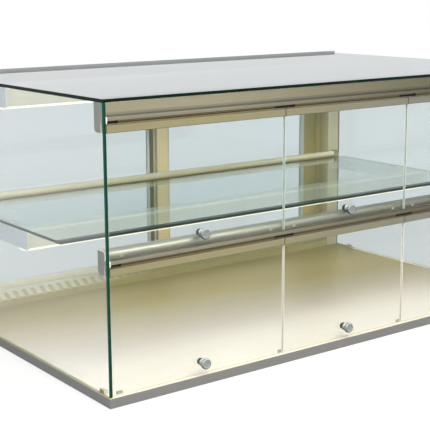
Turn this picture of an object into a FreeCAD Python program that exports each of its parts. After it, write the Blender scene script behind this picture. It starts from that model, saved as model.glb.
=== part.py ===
import FreeCAD, Part
import math
import os

# Two-tier counter display case of glass, lift-up front flaps and sliding rear doors.
# Millimetres. X runs along the front, Y back from the front, Z up from the counter.

# whole case
case_width = 1200.0
base_depth = 736.0
base_height = 21.0
top_face_height = 582.0
glass_thickness = 6.0
glass_arris = 0.6
rear_frame_depth = 64.0
top_glass_lap = 25.0
cut_overrun = 1.0
front_face = 0.0

# folded steel base
tray_sheet = 1.5
tray_bend = 1.2
tray_return = 16.0
underplate_sheet = 1.2
underplate_inset = 3.0
underplate_corner = 4.0
stiffener_count = 3
stiffener_sheet = 1.2
stiffener_crown = 60.0
stiffener_flange = 18.0
stiffener_lean = 8.0
stiffener_end_gap = 12.0
driver_length = 190.0
driver_width = 42.0
driver_height = 15.0
driver_corner = 3.0
driver_ear = 12.0
driver_ear_sheet = 2.0
driver_hole = 4.2
driver_end_inset = 450.0
grommet_bore = 7.0
grommet_neck = 11.0
grommet_flange = 15.0
grommet_lip = 2.5
grommet_end_inset = 180.0

# clips that hold the foot of the end glass
clip_length = 16.0
clip_width = 9.0
clip_height = 9.0
clip_round = 3.0
clip_front = 26.0
clip_rear_inset = 52.0

# hinge shared by both rails and all flaps
bead_radius = 3.5
hinge_clearance = 0.2
channel_wall = 1.8
lip_margin_deg = 17.0
neck_thickness = 1.8
clamp_drop = 5.9
clamp_height = 15.0
clamp_thickness = 12.0
clamp_round = 1.5
clamp_slot_depth = 10.5
bead_notch = 25.0
bond_gap = 0.1

# front rails
rail_front = 1.0
rail_rear = 36.0
lip_height = 9.0
lip_round = 4.0
quirk_height = 2.5
quirk_depth = 2.0
rail_wall = 2.0
rail_round = 2.5
mid_rail_nose = 7.0
rail_rear_foot = 14.0
top_rail_rise = 35.1
mid_rail_rise = 25.5
mid_hinge_height = 276.1
fascia_setback = 7.0
end_cap_thickness = 3.0
end_cap_relief = 1.5
end_cap_round = 8.0

# flaps
middle_flap_pitch = 350.0
flap_gap = 2.0
flap_end_gap = 1.5
flap_foot_gap = 2.0
flap_lip_gap = 0.8
buffer_gap = 1.5
buffer_clear = 0.3
buffer_radius = 3.2
buffer_inset = 30.0
buffer_height_above_lip = 3.5
stop_length = 11.0
stop_depth = 7.0
stop_height = 7.0
stop_round = 2.5
stop_end_inset = 22.0

# flap knobs
knob_height = 24.0
knob_projection = 17.0
knob_head_radius = 11.0
knob_head_length = 8.0
knob_head_bevel = 2.5
knob_waist_radius = 6.0
knob_seat_radius = 8.0
knob_seat_length = 2.0
stud_radius = 3.9
stud_hole_clear = 0.1
cap_radius = 7.0
cap_length = 6.0
cap_bevel = 2.0

# rear posts, header, sill and door track
post_width = 44.0
post_wall = 2.5
post_round = 2.0
jamb_rib = 2.0
jamb_reach = 14.0
jamb_clear = 0.4
door_thickness = 10.0
door_gap = 2.0
header_web = 3.0
header_skirt = 31.0
header_skirt_wall = 2.5
header_channel_depth = 22.0
header_lip_height = 5.5
header_lip_wall = 3.0
header_end_gap = 0.5
track_height = 9.0
track_wall = 2.0
track_rib_height = 7.0
track_rib_wall = 2.4
sill_sheet = 1.2
sill_front_gap = 0.5
sill_riser = 17.0
sill_rise = 16.0
sill_rear_gap = 3.0
sill_return = 20.0
sill_foot = 14.0
sill_end_gap = 1.0
slot_pitch = 24.0
slot_width = 11.0
slot_crown = 12.0
slot_margin = 20.0
slot_clip = 3.0

# sliding doors
meeting_stile_width = 36.0
closing_stile_width = 58.0
door_rail_width = 34.0
door_overlap = 26.0
door_end_gap = 1.0
door_foot_gap = 1.5
door_head_gap = 7.0
door_edge_round = 1.0
door_glass_thickness = 5.0
door_groove_depth = 10.0
door_glass_seat = 8.0
shoe_slot_width = 6.0
shoe_slot_depth = 11.0
shoe_length = 45.0
shoe_run_gap = 0.2
shoe_side_gap = 0.25
shoe_end_inset = 30.0
pull_length = 110.0
pull_width = 20.0
pull_depth = 2.0
pull_height = 300.0

# glass shelf and its frame
shelf_top = 288.0
shelf_front = 186.0
shelf_end_gap = 4.0
pad_radius = 6.0
pad_thickness = 1.5
pad_inset = 40.0
bracket_sheet = 2.5
bracket_flange = 26.0
bracket_glass_gap = 2.0
bracket_foot = 3.0
shelf_bracket_height = 36.0
shelf_bracket_front = 321.0
rail_tube_radius = 10.5
rail_tube_wall = 1.5
rail_tube_rise = 7.0
rail_tube_standoff = 15.0
rail_tube_gap = 1.5
rail_tube_inset = 16.0
socket_wall = 1.5
socket_length = 14.0
socket_floor = 3.0
socket_stalk_radius = 5.0
socket_foot_radius = 7.0
socket_foot = 2.5

# lights
housing_depth = 40.0
housing_setback = 10.0
housing_flange_gap = 2.0
housing_sheet = 1.5
housing_end_gap = 0.5
housing_return = 4.0
shelf_housing_height = 35.0
top_bracket_height = 43.0
top_bracket_front = 392.0
top_bracket_gap = 0.5
top_housing_height = 42.0
diffuser_drop = 5.0
diffuser_wall = 1.5
diffuser_leg = 5.0
diffuser_gap = 0.2
board_width = 14.0
board_thickness = 1.6
led_pitch = 36.0
led_size = 5.0
led_height = 1.5
board_end_gap = 10.0

# places that follow from the sizes above
half_width = case_width / 2
grommet_side = half_width - grommet_end_inset
driver_side = half_width - driver_end_inset
end_glass_depth = base_depth - rear_frame_depth
top_glass_depth = end_glass_depth + top_glass_lap
glass_face = half_width - glass_thickness
top_glass_foot = top_face_height - glass_thickness
channel_radius = bead_radius + hinge_clearance
channel_outer = channel_radius + channel_wall
hinge_y = rail_front + channel_outer
top_hinge_height = top_glass_foot - top_rail_rise
flap_glass_front = hinge_y - glass_thickness / 2
flap_glass_rear = hinge_y + glass_thickness / 2
mid_rail_face = flap_glass_rear + buffer_gap
outer_door_rear = base_depth - jamb_rib - jamb_clear
outer_door_front = outer_door_rear - door_thickness
inner_door_rear = outer_door_front - door_gap
inner_door_front = inner_door_rear - door_thickness
jamb_front = inner_door_front - jamb_clear - jamb_rib
post_face = half_width - post_width
track_top = base_height + track_height
door_foot = track_top + door_foot_gap
header_foot = top_glass_foot - header_web
door_head = header_foot - door_head_gap
shelf_foot = shelf_top - glass_thickness
rail_tube_height = shelf_top + rail_tube_rise
rail_tube_y = end_glass_depth - rail_tube_standoff
shelf_rear = rail_tube_y - rail_tube_radius - rail_tube_gap
bracket_top = shelf_foot - pad_thickness
bracket_face = glass_face - bracket_glass_gap
front_shift = (knob_projection - flap_glass_front - base_depth - grommet_lip) / 2


def point(x, y, z):
    return FreeCAD.Vector(x, y, z)


def block(x0, x1, y0, y1, z0, z1):
    return Part.makeBox(x1 - x0, y1 - y0, z1 - z0, point(x0, y0, z0))


def wire_face(path, place):
    # a path holds corners (a, b), and arcs as (a, b through, a, b end)
    edges = []
    here = path[0]
    closing = [] if path[-1][-2:] == path[0] else path[:1]
    for step in path[1:] + closing:
        start = place(*here[-2:])
        end = place(*step[-2:])
        if len(step) > 2:
            edges.append(Part.Arc(start, place(*step[:2]), end).toShape())
        else:
            edges.append(Part.makeLine(start, end))
        here = step
    return Part.Face(Part.Wire(edges))


def along_x(path, x0, x1):
    face = wire_face(path, lambda y, z: point(x0, y, z))
    return face.extrude(point(x1 - x0, 0, 0))


def along_y(path, y0, y1):
    face = wire_face(path, lambda x, z: point(x, y0, z))
    return face.extrude(point(0, y1 - y0, 0))


def along_z(path, z0, z1):
    face = wire_face(path, lambda x, y: point(x, y, z0))
    return face.extrude(point(0, 0, z1 - z0))


def rounded_rectangle(a0, a1, b0, b1, radius):
    bow = radius * (1 - math.sqrt(0.5))
    return [
        (a0 + radius, b0), (a1 - radius, b0), (a1 - bow, b0 + bow, a1, b0 + radius),
        (a1, b1 - radius), (a1 - bow, b1 - bow, a1 - radius, b1),
        (a0 + radius, b1), (a0 + bow, b1 - bow, a0, b1 - radius),
        (a0, b0 + radius), (a0 + bow, b0 + bow, a0 + radius, b0),
    ]


def sheet_path(corners, thickness):
    # a bent sheet: the corners of its right-hand face, and the same line moved to its left
    moved = []
    for i, corner in enumerate(corners):
        sides = []
        for a, b in ((i - 1, i), (i, i + 1)):
            if a >= 0 and b < len(corners):
                run = (corners[b][0] - corners[a][0], corners[b][1] - corners[a][1])
                length = math.hypot(*run)
                sides.append((-run[1] / length, run[0] / length))
        first, last = sides[0], sides[-1]
        spread = 1 + first[0] * last[0] + first[1] * last[1]
        moved.append((corner[0] + thickness * (first[0] + last[0]) / spread,
                      corner[1] + thickness * (first[1] + last[1]) / spread))
    return corners + moved[::-1]


def mirrored(shape):
    return shape.mirror(point(0, 0, 0), point(1, 0, 0))


def turned_on_y(path, x, z):
    # path holds (radius, y) corners and arcs, turned about the line through x, z along Y
    face = wire_face(path, lambda r, y: point(x + r, y, z))
    return face.revolve(point(x, 0, z), point(0, 1, 0), 360)


def pane(x0, x1, y0, y1, z0, z1):
    # a glass plate with its polished arris
    plate = block(x0, x1, y0, y1, z0, z1)
    return plate.makeChamfer(glass_arris, plate.Edges)


# base

def bent_top(low, high):
    bow = tray_bend * (1 - math.sqrt(0.5))
    return [(low, underplate_sheet), (high, underplate_sheet), (high, base_height - tray_bend),
            (high - bow, base_height - bow, high - tray_bend, base_height), (low + tray_bend, base_height),
            (low + bow, base_height - bow, low, base_height - tray_bend)]


def base_tray():
    # a deck bent down along all four sides, mitred at the corners, with a return flange below
    lengthwise = along_x(bent_top(front_face, base_depth), -half_width, half_width)
    crosswise = along_y(bent_top(-half_width, half_width), front_face, base_depth)
    outer = lengthwise.common(crosswise)
    inside = block(-half_width + tray_sheet, half_width - tray_sheet,
                   front_face + tray_sheet, base_depth - tray_sheet,
                   underplate_sheet + tray_sheet, base_height - tray_sheet)
    mouth = block(-half_width + tray_return, half_width - tray_return,
                  front_face + tray_return, base_depth - tray_return,
                  -cut_overrun, underplate_sheet + tray_sheet + cut_overrun)
    inside_skirt = base_depth - tray_sheet - cut_overrun
    lead_hole = Part.makeCylinder(grommet_neck / 2, tray_sheet + 2 * cut_overrun,
                                  point(grommet_side, inside_skirt, grommet_height()), point(0, 1, 0))
    return outer.cut([inside, mouth, lead_hole])


def grommet_height():
    return (underplate_sheet + base_height) / 2


def cable_grommet():
    # a rubber ring with a groove that grips the sheet round its hole
    sheet_front = base_depth - tray_sheet
    rim = grommet_flange / 2
    crown = rim - grommet_lip / 2
    path = [
        (grommet_bore / 2, sheet_front - grommet_lip), (crown, sheet_front - grommet_lip),
        (rim, sheet_front), (grommet_neck / 2, sheet_front), (grommet_neck / 2, base_depth),
        (rim, base_depth), (crown, base_depth + grommet_lip), (grommet_bore / 2, base_depth + grommet_lip),
    ]
    return turned_on_y(path, grommet_side, grommet_height())


def base_underplate():
    path = rounded_rectangle(-half_width + underplate_inset, half_width - underplate_inset,
                             front_face + underplate_inset, base_depth - underplate_inset, underplate_corner)
    return along_z(path, 0, underplate_sheet)


def stiffener_places():
    return [base_depth * (i + 1) / (stiffener_count + 1) for i in range(stiffener_count)]


def base_stiffeners():
    # hat sections, crown down on the underplate and flanges up against the deck
    top = base_height - tray_sheet
    reach = half_width - tray_return - stiffener_end_gap
    hats = []
    for middle in stiffener_places():
        crown = stiffener_crown / 2
        shoulder = crown + stiffener_lean
        corners = [
            (middle + shoulder + stiffener_flange, top), (middle + shoulder, top),
            (middle + crown, underplate_sheet + stiffener_sheet),
            (middle - crown, underplate_sheet + stiffener_sheet),
            (middle - shoulder, top), (middle - shoulder - stiffener_flange, top),
        ]
        hats.append(along_x(sheet_path(corners, stiffener_sheet), -reach, reach))
    return Part.makeCompound(hats)


def led_driver():
    # a slim power supply with a screw ear at each end
    places = stiffener_places()
    middle = (places[-1] + places[-2]) / 2
    left = driver_side - driver_length / 2
    right = driver_side + driver_length / 2
    front = middle - driver_width / 2
    rear = middle + driver_width / 2
    foot = underplate_sheet
    body = along_x(rounded_rectangle(front, rear, foot, foot + driver_height, driver_corner), left, right)
    ears = along_z(rounded_rectangle(left - driver_ear, right + driver_ear, front, rear, driver_corner),
                   foot, foot + driver_ear_sheet)
    holes = []
    for x in (left - driver_ear / 2, right + driver_ear / 2):
        holes.append(Part.makeCylinder(driver_hole / 2, driver_ear_sheet + 2 * cut_overrun,
                                       point(x, middle, foot - cut_overrun)))
    return body.fuse(ears).removeSplitter().cut(holes)


# fixed glass

def left_end_glass():
    return pane(-half_width, -glass_face, front_face, end_glass_depth, base_height, top_glass_foot)


def top_glass():
    return pane(-half_width, half_width, front_face, top_glass_depth, top_glass_foot, top_face_height)


def end_glass_clips():
    clips = []
    for start in (clip_front, end_glass_depth - clip_rear_inset - clip_length):
        left, right = -glass_face, -glass_face + clip_width
        foot, top = base_height, base_height + clip_height
        bow = clip_round * (1 - math.sqrt(0.5))
        path = [(left, foot), (right, foot), (right, top - clip_round),
                (right - bow, top - bow, right - clip_round, top), (left, top)]
        clip = along_y(path, start, start + clip_length)
        clips += [clip, mirrored(clip)]
    return Part.makeCompound(clips)


# front rails

def hinge_point(hinge_height, degrees, radius):
    angle = math.radians(degrees)
    return (hinge_y + radius * math.cos(angle), hinge_height + radius * math.sin(angle))


def rail_outline(hinge_height, face, rise, nose):
    # front lip, quirk, fascia with its nose, top, and the upper corner of the back
    lip_top = hinge_height + lip_height
    lip_bow = lip_round * (1 - math.sqrt(0.5))
    top = hinge_height + rise
    nose_bow = nose * (1 - math.sqrt(0.5))
    bow = rail_round * (1 - math.sqrt(0.5))
    lip_foot = hinge_point(hinge_height, 180 - lip_margin_deg, channel_outer)[1]
    return [
        (rail_front, lip_foot), (rail_front, lip_top - lip_round),
        (rail_front + lip_bow, lip_top - lip_bow, rail_front + lip_round, lip_top),
        (face + quirk_depth, lip_top), (face + quirk_depth, lip_top + quirk_height),
        (face, lip_top + quirk_height), (face, top - nose),
        (face + nose_bow, top - nose_bow, face + nose, top), (rail_rear - rail_round, top),
        (rail_rear - bow, top - bow, rail_rear, top - rail_round),
    ]


def rail_path(hinge_height, face, rise, nose):
    # the outline, then a raking underside that runs into the open hinge channel
    rake = rake_contact_deg()
    upper_lip = 180 - lip_margin_deg
    rear_lip = 270 + lip_margin_deg
    middle = (rake + rear_lip - 360) / 2
    return rail_outline(hinge_height, face, rise, nose) + [
        (rail_rear, hinge_height + rail_rear_foot), hinge_point(hinge_height, rake, channel_outer),
        hinge_point(hinge_height, middle, channel_outer) + hinge_point(hinge_height, rear_lip, channel_outer),
        hinge_point(hinge_height, rear_lip, channel_radius),
        hinge_point(hinge_height, 45, channel_radius) + hinge_point(hinge_height, upper_lip, channel_radius),
    ]


def end_cap_path(hinge_height, face, rise, nose):
    # the outline, then a rounded block behind the clamp bars, and the closed end of the channel
    foot = hinge_height - clamp_drop - clamp_height
    relief = hinge_y + clamp_thickness / 2 + end_cap_relief
    bow = end_cap_round * (1 - math.sqrt(0.5))
    return rail_outline(hinge_height, face, rise, nose) + [
        (rail_rear, foot + end_cap_round),
        (rail_rear - bow, foot + bow, rail_rear - end_cap_round, foot), (relief, foot),
        (relief, hinge_height), hinge_point(hinge_height, 0, channel_outer),
        hinge_point(hinge_height, -90, channel_outer) + hinge_point(hinge_height, 180, channel_outer),
    ]


def rake_contact_deg():
    # where the raking underside touches the round of the hinge channel
    reach = rail_rear - hinge_y
    return math.degrees(math.atan2(rail_rear_foot, reach)
                        - math.acos(channel_outer / math.hypot(reach, rail_rear_foot)))


def rail_cavity(hinge_height, face, rise):
    contact = hinge_point(hinge_height, rake_contact_deg(), channel_outer)
    slope = (hinge_height + rail_rear_foot - contact[1]) / (rail_rear - contact[0])
    lift = rail_wall * math.hypot(1, slope)
    front = max(face + quirk_depth, hinge_y + channel_outer) + rail_wall
    rear = rail_rear - rail_wall
    top = hinge_height + rise - rail_wall

    def floor(y):
        return contact[1] + slope * (y - contact[0]) + lift

    return [(front, floor(front)), (rear, floor(rear)), (rear, top), (front, top)]


def front_rail(hinge_height, face, rise, nose):
    end = glass_face - end_cap_thickness
    body = along_x(rail_path(hinge_height, face, rise, nose), -end, end)
    cavity = along_x(rail_cavity(hinge_height, face, rise), -end - cut_overrun, end + cut_overrun)
    return body.cut(cavity)


def rail_end_caps(hinge_height, face, rise, nose):
    cap = along_x(end_cap_path(hinge_height, face, rise, nose), -glass_face, -glass_face + end_cap_thickness)
    return Part.makeCompound([cap, mirrored(cap)])


# flaps

def flap_spans():
    division = middle_flap_pitch / 2
    end = glass_face - flap_end_gap
    return {"left": (-end, -division - flap_gap / 2),
            "middle": (-division + flap_gap / 2, division - flap_gap / 2),
            "right": (division + flap_gap / 2, end)}


def flap_clamp(span, hinge_height):
    # a grooved bar on the glass, with a neck and a round bead that turn in the rail's channel
    top = hinge_height - clamp_drop
    front = hinge_y - clamp_thickness / 2
    rear = hinge_y + clamp_thickness / 2
    bar = along_x(rounded_rectangle(front, rear, top - clamp_height, top, clamp_round), *span)
    slot_half = glass_thickness / 2 + bond_gap
    slot = block(span[0] - cut_overrun, span[1] + cut_overrun, hinge_y - slot_half, hinge_y + slot_half,
                 top - clamp_height - cut_overrun, top - clamp_height + clamp_slot_depth)
    start = span[0] + bead_notch
    length = span[1] - span[0] - 2 * bead_notch
    neck = block(start, start + length, hinge_y - neck_thickness / 2, hinge_y + neck_thickness / 2,
                 top - clamp_round, hinge_height)
    bead = Part.makeCylinder(bead_radius, length, point(start, hinge_y, hinge_height), point(1, 0, 0))
    return bar.fuse([neck, bead]).removeSplitter().cut(slot)


def flap_glass(span, hinge_height, foot):
    top = hinge_height - clamp_drop - clamp_height + clamp_slot_depth - bond_gap
    plate = pane(span[0], span[1], flap_glass_front, flap_glass_rear, foot, top)
    middle = (span[0] + span[1]) / 2
    start = point(middle, flap_glass_front - cut_overrun, foot + knob_height)
    hole = Part.makeCylinder(stud_radius + stud_hole_clear, glass_thickness + 2 * cut_overrun,
                             start, point(0, 1, 0))
    return plate.cut(hole)


def flap_knob(span, foot):
    # a turned knob with its stud through the glass, and the cap nut behind
    tip = flap_glass_front - knob_projection
    head_back = tip + knob_head_length
    stud_end = flap_glass_rear + cap_length / 2
    knob_path = [
        (0, tip), (knob_head_radius - knob_head_bevel, tip), (knob_head_radius, tip + knob_head_bevel),
        (knob_head_radius, head_back - knob_head_bevel), (knob_waist_radius, head_back + knob_head_bevel),
        (knob_waist_radius, flap_glass_front - 2 * knob_seat_length),
        (knob_seat_radius, flap_glass_front - knob_seat_length), (knob_seat_radius, flap_glass_front),
        (stud_radius, flap_glass_front), (stud_radius, stud_end), (0, stud_end),
    ]
    cap_end = flap_glass_rear + cap_length
    cap_path = [
        (stud_radius, flap_glass_rear), (cap_radius, flap_glass_rear), (cap_radius, cap_end - cap_bevel),
        (cap_radius - cap_bevel, cap_end), (0, cap_end), (0, stud_end), (stud_radius, stud_end),
    ]
    middle = (span[0] + span[1]) / 2
    height = foot + knob_height
    return Part.makeCompound([turned_on_y(path, middle, height) for path in (knob_path, cap_path)])


def flap_buffers():
    # round pads on the middle rail for the upper flaps, and stops on the deck for the lower ones
    pads = []
    front = flap_glass_rear + buffer_clear
    pad_height = mid_hinge_height + lip_height + quirk_height + buffer_height_above_lip
    for span in flap_spans().values():
        for x in (span[0] + buffer_inset, span[1] - buffer_inset):
            pads.append(Part.makeCylinder(buffer_radius, buffer_gap - buffer_clear,
                                          point(x, front, pad_height), point(0, 1, 0)))
    rear = front + stop_depth
    top = base_height + stop_height
    bow = stop_round * (1 - math.sqrt(0.5))
    path = [(front, base_height), (rear, base_height), (rear, top - stop_round),
            (rear - bow, top - bow, rear - stop_round, top), (front, top)]
    division = middle_flap_pitch / 2
    end = glass_face - stop_end_inset
    for x in (-end, -division, division, end):
        pads.append(along_x(path, x - stop_length / 2, x + stop_length / 2))
    return Part.makeCompound(pads)


# rear frame

def rear_left_post():
    # a tube with three ribs on its inner face, which form the two pockets that the doors close into
    inner = -post_face
    outer = -half_width
    front = end_glass_depth
    bow = post_round * (1 - math.sqrt(0.5))
    tip = inner + jamb_reach
    path = [(outer, front + post_round), (outer + bow, front + bow, outer + post_round, front),
            (inner - post_round, front), (inner - bow, front + bow, inner, front + post_round)]
    for start, end in rib_spans():
        path += [(inner, start), (tip, start), (tip, end)]
        if end < base_depth:
            path.append((inner, end))
    path += [(outer + post_round, base_depth),
             (outer + bow, base_depth - bow, outer, base_depth - post_round)]
    body = along_z(path, base_height, header_foot)
    bore = block(outer + post_wall, inner - post_wall, front + post_wall, base_depth - post_wall,
                 base_height - cut_overrun, header_foot + cut_overrun)
    return body.cut(bore)


def rib_spans():
    return [(jamb_front, jamb_front + jamb_rib),
            (inner_door_rear + jamb_clear, outer_door_front - jamb_clear),
            (base_depth - jamb_rib, base_depth)]


def rear_header():
    # a web under the rear of the top glass with a lip behind the glass, and door channels below
    lip_end = top_glass_depth + header_lip_wall
    web_path = [(end_glass_depth, header_foot), (base_depth, header_foot), (base_depth, top_glass_foot),
                (lip_end, top_glass_foot), (lip_end, top_face_height + header_lip_height),
                (top_glass_depth, top_face_height + header_lip_height), (top_glass_depth, top_glass_foot),
                (end_glass_depth, top_glass_foot)]
    web = along_x(web_path, -half_width, half_width)
    reach = post_face - header_end_gap
    walls = [block(-reach, reach, end_glass_depth, end_glass_depth + header_skirt_wall,
                   top_glass_foot - header_skirt, header_foot)]
    reach -= jamb_reach
    for start, end in rib_spans():
        walls.append(block(-reach, reach, start, end, header_foot - header_channel_depth, header_foot))
    return web.fuse(walls).removeSplitter()


def rear_bottom_track():
    # a hollow threshold with one guide rib under each door
    reach = post_face - header_end_gap - jamb_reach
    top = track_top
    path = [(jamb_front, base_height), (base_depth, base_height), (base_depth, top)]
    for front, rear in ((outer_door_front, outer_door_rear), (inner_door_front, inner_door_rear)):
        middle = (front + rear) / 2
        path += [(middle + track_rib_wall / 2, top), (middle + track_rib_wall / 2, top + track_rib_height),
                 (middle - track_rib_wall / 2, top + track_rib_height), (middle - track_rib_wall / 2, top)]
    path.append((jamb_front, top))
    hollow = block(-reach - cut_overrun, reach + cut_overrun, jamb_front + track_wall,
                   base_depth - track_wall, base_height + track_wall, top - track_wall)
    return along_x(path, -reach, reach).cut(hollow)


def rear_vent_sill():
    # a folded strip in front of the doors: foot, riser, slope and return; its slots run out over the fold
    reach = post_face - sill_end_gap
    front = end_glass_depth + sill_front_gap
    rear = jamb_front - sill_rear_gap
    shoulder = base_height + sill_riser
    crest = shoulder + sill_rise
    corners = [(front + sill_foot, base_height), (front, base_height), (front, shoulder),
               (rear, crest), (rear, crest - sill_return)]
    body = along_x(sheet_path(corners[::-1], sill_sheet), -reach, reach)
    slope_length = math.hypot(rear - front, sill_rise)
    along = ((rear - front) / slope_length, sill_rise / slope_length)
    middle = ((front + rear) / 2, (shoulder + crest) / 2)
    half = slot_width / 2
    low = -slope_length / 2 - cut_overrun
    high = slope_length / 2 - slot_crown
    path = [(-half, low), (half, low), (half, high - slot_clip), (half - slot_clip, high),
            (-half + slot_clip, high), (-half, high - slot_clip)]
    count = int((2 * reach - 2 * slot_margin) // slot_pitch)
    slots = []
    for i in range(count):
        x = (i - (count - 1) / 2) * slot_pitch

        def place(a, b):
            # start below the slope, so that the slot passes right through the sheet
            y = middle[0] + b * along[0] + (sill_sheet + cut_overrun) * along[1]
            z = middle[1] + b * along[1] - (sill_sheet + cut_overrun) * along[0]
            return point(x + a, y, z)

        depth = sill_sheet + 2 * cut_overrun
        slots.append(wire_face(path, place).extrude(point(0, -along[1] * depth, along[0] * depth)))
    return body.cut(slots)


# sliding doors, drawn for the right-hand door on the inner track

def door_span():
    return (-door_overlap / 2, post_face - door_end_gap)


def door_stile(left, right, groove_left, groove_right):
    # an upright grooved along one edge for the glass and slotted at its foot for the shoes
    middle = (inner_door_front + inner_door_rear) / 2
    groove = door_glass_thickness / 2 + bond_gap
    outline = rounded_rectangle(left, right, inner_door_front, inner_door_rear, door_edge_round)
    glass_groove = block(groove_left, groove_right, middle - groove, middle + groove,
                         door_foot - cut_overrun, door_head + cut_overrun)
    return along_z(outline, door_foot, door_head).cut([glass_groove, shoe_slot(left, right)])


def door_rail(left, right, foot, groove_foot):
    # a cross member between the stiles, grooved along one edge for the glass
    middle = (inner_door_front + inner_door_rear) / 2
    groove = door_glass_thickness / 2 + bond_gap
    outline = rounded_rectangle(inner_door_front, inner_door_rear, foot, foot + door_rail_width,
                                door_edge_round)
    glass_groove = block(left - cut_overrun, right + cut_overrun, middle - groove, middle + groove,
                         groove_foot, groove_foot + door_groove_depth + cut_overrun)
    return along_x(outline, left, right).cut(glass_groove)


def shoe_slot(left, right):
    middle = (inner_door_front + inner_door_rear) / 2
    half = shoe_slot_width / 2
    return block(left - cut_overrun, right + cut_overrun, middle - half, middle + half,
                 door_foot - cut_overrun, door_foot + shoe_slot_depth)


def door_pull(right):
    # a shallow finger recess in the outer face of the closing stile
    left = right - closing_stile_width / 2 - pull_width / 2
    outline = rounded_rectangle(left, left + pull_width, pull_height, pull_height + pull_length,
                                pull_width / 2 - door_edge_round)
    return along_y(outline, inner_door_rear - pull_depth, inner_door_rear + cut_overrun)


def door_frame():
    left, right = door_span()
    start = left + meeting_stile_width
    end = right - closing_stile_width
    head = door_head - door_rail_width
    meeting_stile = door_stile(left, start, start - door_groove_depth, start + cut_overrun)
    closing_stile = door_stile(end, right, end - cut_overrun, end + door_groove_depth).cut(door_pull(right))
    foot_rail = door_rail(start, end, door_foot, door_foot + door_rail_width - door_groove_depth)
    head_rail = door_rail(start, end, head, head - cut_overrun)
    return Part.makeCompound([meeting_stile, closing_stile, foot_rail.cut(shoe_slot(start, end)), head_rail])


def door_glass():
    left, right = door_span()
    front = (inner_door_front + inner_door_rear - door_glass_thickness) / 2
    inset = door_rail_width - door_glass_seat
    return pane(left + meeting_stile_width - door_glass_seat, right - closing_stile_width + door_glass_seat,
                front, front + door_glass_thickness, door_foot + inset, door_head - inset)


def door_shoes():
    # nylon runners in the foot rail's slot, each straddling the guide rib
    left, right = door_span()
    middle = (inner_door_front + inner_door_rear) / 2
    roof = track_top + track_rib_height + shoe_run_gap
    half = shoe_slot_width / 2
    gap = track_rib_wall / 2 + shoe_side_gap
    top = door_foot + shoe_slot_depth
    path = [(middle - half, door_foot), (middle - gap, door_foot), (middle - gap, roof), (middle + gap, roof),
            (middle + gap, door_foot), (middle + half, door_foot), (middle + half, top), (middle - half, top)]
    shoes = []
    for x in (left + shoe_end_inset, right - shoe_end_inset - shoe_length):
        shoes.append(along_x(path, x, x + shoe_length))
    return Part.makeCompound(shoes)


def as_left_door(shape):
    # the same door turned end for end across the case and set on the outer track
    other = mirrored(shape)
    other.translate(point(0, outer_door_front - inner_door_front, 0))
    return other


# shelf and lights

def shelf_glass():
    end = glass_face - shelf_end_gap
    return pane(-end, end, shelf_front, shelf_rear, shelf_foot, shelf_top)


def shelf_pads():
    x = bracket_face - bracket_flange / 2
    pads = []
    front = shelf_bracket_front + housing_setback + housing_depth + housing_flange_gap
    for y in (front + pad_inset, shelf_rear - pad_inset):
        for side in (-x, x):
            pads.append(Part.makeCylinder(pad_radius, pad_thickness, point(side, y, bracket_top)))
    return Part.makeCompound(pads)


def left_bracket(front, top, height):
    # a web along the end glass, a flange behind the light and a plate that screws to the post
    flange_front = front + housing_setback + housing_depth + housing_flange_gap
    web = block(-bracket_face, -bracket_face + bracket_sheet, front, end_glass_depth, top - height, top)
    flange = block(-bracket_face, -bracket_face + bracket_flange, flange_front, end_glass_depth,
                   top - bracket_sheet, top)
    foot = block(-bracket_face, -bracket_face + bracket_flange, end_glass_depth - bracket_foot,
                 end_glass_depth, top - height, top)
    return web.fuse([flange, foot]).removeSplitter()


def light_housing(front, top, height):
    # a channel open below, with a return along each edge that holds the diffuser
    rear = front + housing_depth
    foot = top - height
    corners = [(front + housing_return, foot), (front, foot), (front, top), (rear, top), (rear, foot),
               (rear - housing_return, foot)]
    end = bracket_face - bracket_sheet - housing_end_gap
    return along_x(sheet_path(corners[::-1], housing_sheet), -end, end)


def light_diffuser(front, top, height):
    # an opal trough hung in the housing's mouth, bowed below its edges
    foot = top - height
    left = front + housing_return + diffuser_gap
    right = front + housing_depth - housing_return - diffuser_gap
    ledge = foot + housing_sheet + diffuser_gap
    low = foot - diffuser_drop
    wall = diffuser_wall
    middle = (left + right) / 2
    shoulder = foot - diffuser_gap
    path = [
        (left, shoulder), (front + housing_sheet, shoulder),
        (middle, low, front + housing_depth - housing_sheet, shoulder),
        (right, shoulder), (right, ledge + diffuser_leg), (right - wall, ledge + diffuser_leg),
        (right - wall, shoulder), (middle, low + wall, left + wall, shoulder),
        (left + wall, ledge + diffuser_leg), (left, ledge + diffuser_leg),
    ]
    end = bracket_face - bracket_sheet - housing_end_gap
    return along_x(path, -end, end)


def led_board(front, top):
    # a strip board under the housing's roof with its row of light-emitting chips
    end = bracket_face - bracket_sheet - housing_end_gap - board_end_gap
    middle = front + housing_depth / 2
    roof = top - housing_sheet
    board = block(-end, end, middle - board_width / 2, middle + board_width / 2, roof - board_thickness, roof)
    count = int((2 * end - led_size) // led_pitch) + 1
    chips = []
    for i in range(count):
        x = (i - (count - 1) / 2) * led_pitch
        chips.append(block(x - led_size / 2, x + led_size / 2, middle - led_size / 2, middle + led_size / 2,
                           roof - board_thickness - led_height, roof - board_thickness))
    return board.fuse(chips).removeSplitter()


def shelf_rear_rail():
    end = post_face + rail_tube_inset - socket_floor
    tube = Part.makeCylinder(rail_tube_radius, 2 * end,
                             point(-end, rail_tube_y, rail_tube_height), point(1, 0, 0))
    bore = Part.makeCylinder(rail_tube_radius - rail_tube_wall, 2 * end + 2 * cut_overrun,
                             point(-end - cut_overrun, rail_tube_y, rail_tube_height), point(1, 0, 0))
    return tube.cut(bore)


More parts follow.
